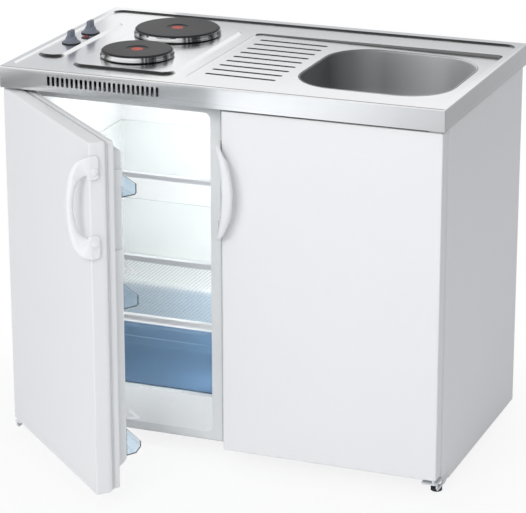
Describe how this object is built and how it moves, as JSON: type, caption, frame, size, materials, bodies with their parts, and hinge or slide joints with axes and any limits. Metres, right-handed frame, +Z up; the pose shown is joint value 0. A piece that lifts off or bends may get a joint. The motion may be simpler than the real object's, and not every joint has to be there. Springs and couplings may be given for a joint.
{
  "type": "kitchenette unit with sink and hob",
  "caption": "Compact kitchenette: pressed steel worktop with hob, drainer and sink, over a built-in refrigerator with its door ajar and a sink cupboard",
  "frame": {"origin": "on the floor, below the middle of the whole, door ajar", "axes": "+X along the front from the hob to the sink, +Y to the wall behind, +Z up; the user stands at -Y"},
  "size_m": [1, 0.9348, 0.8808],
  "materials": {
    "steel": "brushed along the front",
    "satin": "satin",
    "chrome": "polished",
    "iron": "matt",
    "slate": "fine matt",
    "lamp": "clear gloss",
    "zinc": "zinc plated",
    "enamel": "smooth semi-gloss",
    "grey": "smooth semi-gloss",
    "liner": "vacuum-formed gloss",
    "foam": "rigid foam",
    "glass": "clear, greenish at the edges",
    "crisper": "clear tinted",
    "bin": "clear tinted",
    "seal": "soft matt",
    "white": "smooth gloss",
    "black": "matt",
    "foot": "matt",
    "board": "faced board"
  },
  "bodies": {
    "unit": {"worktop": "steel", "sink_bowl": "satin", "sink_waste": "chrome", "hotplate_ring_rear": "chrome", "hotplate_ring_front": "chrome", "waste_trap": "white", "switch_rear": "white", "switch_front": "white", "crisper_trim": "white", "thermostat_housing": "white", "hotplate_rear": "iron", "hotplate_front": "iron", "hotplate_cup_rear": "zinc", "hotplate_cup_front": "zinc", "hob_tray": "zinc", "fridge_hinge_top": "zinc", "cupboard_hinge_top": "zinc", "pilot_lamp": "lamp", "fridge_case": "grey", "shelf_trim_upper": "grey", "shelf_trim_lower": "grey", "fridge_hinge_bottom": "grey", "cupboard_hinge_bottom": "grey", "fridge_insulation": "foam", "fridge_liner": "liner", "shelf_upper": "glass", "shelf_lower": "glass", "crisper_cover": "glass", "compressor": "black", "condenser": "black", "foot_front_left": "foot", "foot_front_middle": "foot", "foot_front_right": "foot", "foot_rear_left": "foot", "foot_rear_right": "foot", "side_panel": "enamel", "cupboard_divider": "board", "cupboard_floor": "board", "cupboard_back": "board"},
    "fridge_door": {"fridge_door_skin": "enamel", "fridge_door_panel": "liner", "fridge_door_seal": "seal", "door_bin_upper": "bin", "door_bin_middle": "bin", "door_bin_lower": "bin", "bottle_guard_middle": "white", "bottle_guard_lower": "white", "fridge_handle": "white", "fridge_handle_cap_upper": "white", "fridge_handle_cap_lower": "white"},
    "cupboard_door_body": {"cupboard_door": "enamel", "cupboard_handle": "white", "cupboard_handle_cap_upper": "white", "cupboard_handle_cap_lower": "white"},
    "knob_rear_body": {"knob_rear": "slate", "spindle_rear": "zinc"},
    "knob_front_body": {"knob_front": "slate", "spindle_front": "zinc"},
    "dial": {"thermostat_dial": "grey"},
    "crisper": {"crisper_drawer": "crisper"}
  },
  "joints": [
    {"name": "fridge_door_hinge", "type": "hinge", "parent": "unit", "child": "fridge_door", "pos_m": [-0.487, -0.11956, 0], "axis": [0, 0, -1], "range_deg": [-42.7, 62.3]},
    {"name": "cupboard_door_hinge", "type": "hinge", "parent": "unit", "child": "cupboard_door_body", "pos_m": [0.487, -0.11956, 0], "axis": [0, 0, 1], "range_deg": [0, 105]},
    {"name": "knob_rear_turn", "type": "hinge", "parent": "unit", "child": "knob_rear_body", "pos_m": [-0.44, 0.20144, 0.86], "axis": [0, 0, 1], "continuous": true},
    {"name": "knob_front_turn", "type": "hinge", "parent": "unit", "child": "knob_front_body", "pos_m": [-0.44, 0.10144, 0.86], "axis": [0, 0, 1], "continuous": true},
    {"name": "thermostat_dial_turn", "type": "hinge", "parent": "unit", "child": "dial", "pos_m": [-0.0776, 0.07744, 0.7225], "axis": [-1, 0, 0], "range_deg": [0, 300]},
    {"name": "crisper_slide", "type": "slide", "parent": "unit", "child": "crisper", "axis": [0, -1, 0], "range_m": [0, 0.055]}
  ]
}
